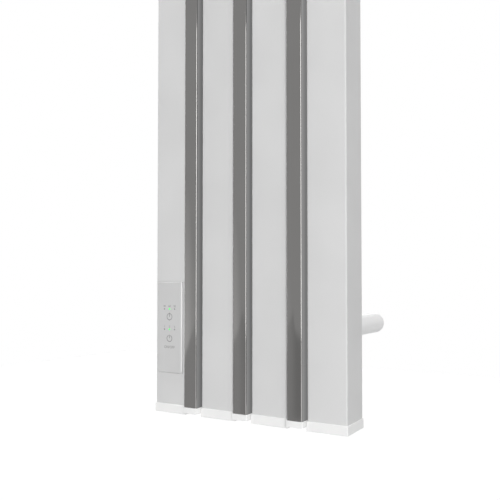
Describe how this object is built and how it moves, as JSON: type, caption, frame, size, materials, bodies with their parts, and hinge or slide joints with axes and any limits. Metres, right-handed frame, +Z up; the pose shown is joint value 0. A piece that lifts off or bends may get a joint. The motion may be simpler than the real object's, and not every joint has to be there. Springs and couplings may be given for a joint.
{
  "type": "electric heated towel rail",
  "caption": "Wall-hung electric towel rail: wide vertical bars with narrow polished strips standing proud between them, a touch control panel low on one bar, telescopic standoffs.",
  "frame": {"origin": "centre of the four wall fixings, on the wall face", "axes": "+Z up along the bars, +Y into the wall, +X to the right seen from the room"},
  "size_m": [0.28, 0.177, 1],
  "materials": {
    "bar_enamel": "satin white powder coat",
    "polished_strip": "mirror-polished dark nickel plating",
    "standoff_enamel": "satin white powder coat",
    "member_enamel": "satin white powder coat",
    "end_cap_plastic": "moulded, fine matt texture",
    "element_sheath": "drawn stainless tube, heat-tinted",
    "stub_aluminium": "turned",
    "zinc_steel": "bright zinc plated",
    "black_steel": "black oxide",
    "brass": "machined",
    "fascia_plastic": "moulded, satin",
    "housing_plastic": "moulded",
    "light_guide_green": "clear moulding lit green",
    "light_guide_dark": "smoked clear moulding",
    "led_body": "white reflector",
    "key_foam": "conductive foam",
    "board_laminate": "green solder mask",
    "nylon": "natural nylon",
    "black_plastic": "moulded",
    "transformer_core": "yellow tape over ferrite",
    "capacitor_can": "sleeved can",
    "terminal_plastic": "moulded green",
    "element_moulding": "silicone end moulding",
    "holder_aluminium": "pressed sheet",
    "conduit_plastic": "extruded",
    "wire_silicone": "silicone insulation",
    "sensor_epoxy": "epoxy bead",
    "gland_nylon": "moulded nylon"
  },
  "bodies": {
    "wall_stubs": {"wall_stubs": "stub_aluminium"},
    "rail": {"bar_1": "bar_enamel", "bar_2": "bar_enamel", "bar_3": "bar_enamel", "bar_4": "bar_enamel", "bar_cap_bottom_1": "end_cap_plastic", "bar_cap_bottom_2": "end_cap_plastic", "bar_cap_bottom_3": "end_cap_plastic", "bar_cap_bottom_4": "end_cap_plastic", "bar_caps_top": "end_cap_plastic", "board_connector": "black_plastic", "board_screws": "zinc_steel", "board_spacers": "nylon", "cable_gland": "gland_nylon", "capacitor": "capacitor_can", "control_fascia": "fascia_plastic", "control_housing": "housing_plastic", "cross_member_lower": "member_enamel", "cross_member_upper": "member_enamel", "earth_stud": "brass", "element_ends": "element_moulding", "element_holders": "holder_aluminium", "gland_cap_nut": "gland_nylon", "gland_locknut": "gland_nylon", "grub_screws": "black_steel", "heating_element_1": "element_sheath", "heating_element_2": "element_sheath", "heating_element_3": "element_sheath", "heating_element_4": "element_sheath", "key_pads": "key_foam", "leds": "led_body", "light_guides_dark": "light_guide_dark", "light_guides_lit": "light_guide_green", "mains_wires": "wire_silicone", "power_board": "board_laminate", "relay": "black_plastic", "sensor_leads": "wire_silicone", "standoff_inserts": "zinc_steel", "standoff_screws": "black_steel", "standoff_sleeve_lower_left": "standoff_enamel", "standoff_sleeve_lower_right": "standoff_enamel", "standoff_sleeve_upper_left": "standoff_enamel", "standoff_sleeve_upper_right": "standoff_enamel", "strip_1": "polished_strip", "strip_2": "polished_strip", "strip_3": "polished_strip", "strip_cap_bottom_1": "end_cap_plastic", "strip_cap_bottom_2": "end_cap_plastic", "strip_cap_bottom_3": "end_cap_plastic", "strip_caps_top": "end_cap_plastic", "temperature_sensor": "sensor_epoxy", "terminal_blocks": "terminal_plastic", "thermal_cutout": "black_plastic", "touch_board": "board_laminate", "transformer": "transformer_core", "tube_inserts": "zinc_steel", "tube_screws": "zinc_steel", "wire_conduits": "conduit_plastic", "wiring_loom": "wire_silicone"}
  },
  "joints": [
    {"name": "standoff_slide", "type": "slide", "parent": "wall_stubs", "child": "rail", "axis": [0, -1, 0], "range_m": [0, 0.015]}
  ]
}
